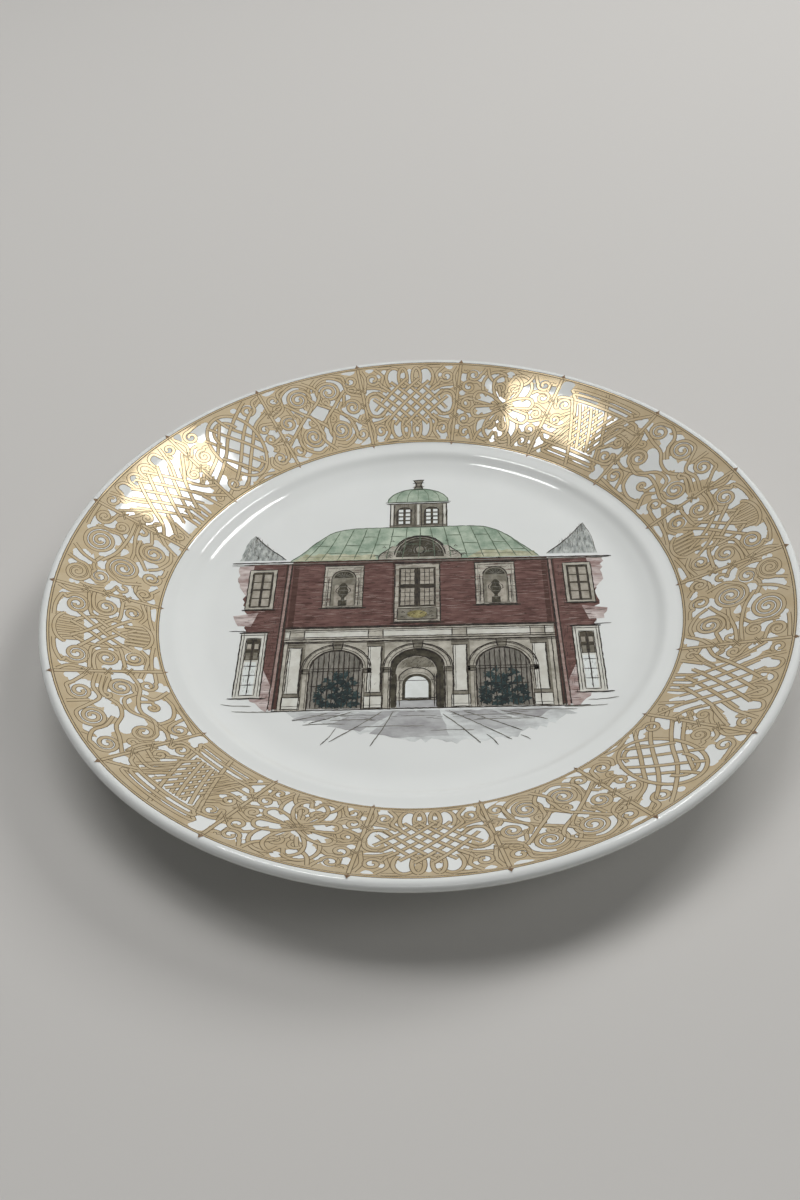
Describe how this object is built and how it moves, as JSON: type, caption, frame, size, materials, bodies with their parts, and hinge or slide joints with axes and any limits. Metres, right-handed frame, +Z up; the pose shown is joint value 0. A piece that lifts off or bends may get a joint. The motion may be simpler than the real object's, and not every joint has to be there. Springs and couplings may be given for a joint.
{
  "type": "decorative plate",
  "caption": "Round porcelain display plate: a gilt lace border on a sloping rim round a shallow well with a printed building.",
  "frame": {"origin": "centre of the foot ring's bearing face, on the plane that the plate stands on", "axes": "+Z up, along the plate's axis, out of the decorated face; +Y towards the top of the printed picture; +X to the picture's right"},
  "size_m": [0.2598, 0.26, 0.0283],
  "materials": {
    "bisque": "matt fired porcelain, bare only on the foot ring's bearing edge",
    "glaze": "high gloss, slightly cool white",
    "gilt": "fired gilding, satin grounds with brighter raised outlines",
    "brick": "overglaze enamel, red-brown",
    "copper": "overglaze enamel, pale verdigris green",
    "slate": "overglaze enamel, blue-grey",
    "stone": "overglaze enamel, cream-grey",
    "umber": "overglaze enamel, dark brown drawing colour",
    "foliage": "overglaze enamel, dark teal",
    "pavement": "overglaze enamel, thin grey wash"
  },
  "bodies": {
    "root": {"bisque_body": "bisque", "glaze_coat": "glaze", "foot_recess_glaze": "glaze", "inner_gilt_line": "gilt", "outer_gilt_line": "gilt", "gilt_panel_01_four_scrolls": "gilt", "gilt_panel_02_woven_oval": "gilt", "gilt_panel_03_diamond_trellis": "gilt", "gilt_panel_04_nine_spirals": "gilt", "gilt_panel_05_spiral_knot": "gilt", "gilt_panel_06_running_vine": "gilt", "gilt_panel_07_fretwork": "gilt", "gilt_panel_08_ringed_cross": "gilt", "gilt_panel_09_looped_trellis": "gilt", "gilt_panel_10_four_scrolls": "gilt", "gilt_panel_11_woven_oval": "gilt", "gilt_panel_12_diamond_trellis": "gilt", "gilt_panel_13_nine_spirals": "gilt", "gilt_panel_14_spiral_knot": "gilt", "gilt_panel_15_running_vine": "gilt", "gilt_panel_16_fretwork": "gilt", "gilt_panel_17_ringed_cross": "gilt", "gilt_panel_18_looped_trellis": "gilt", "cupola_print": "copper", "copper_roof_print": "copper", "pediment_print": "umber", "left_slate_roof_print": "slate", "right_slate_roof_print": "slate", "brick_front_print": "brick", "tall_window_print": "stone", "left_niche_print": "stone", "right_niche_print": "stone", "left_wing_print": "brick", "right_wing_print": "brick", "stone_arcade_print": "stone", "passage_print": "umber", "left_foliage_print": "foliage", "right_foliage_print": "foliage", "pavement_print": "pavement"}
  },
  "joints": []
}
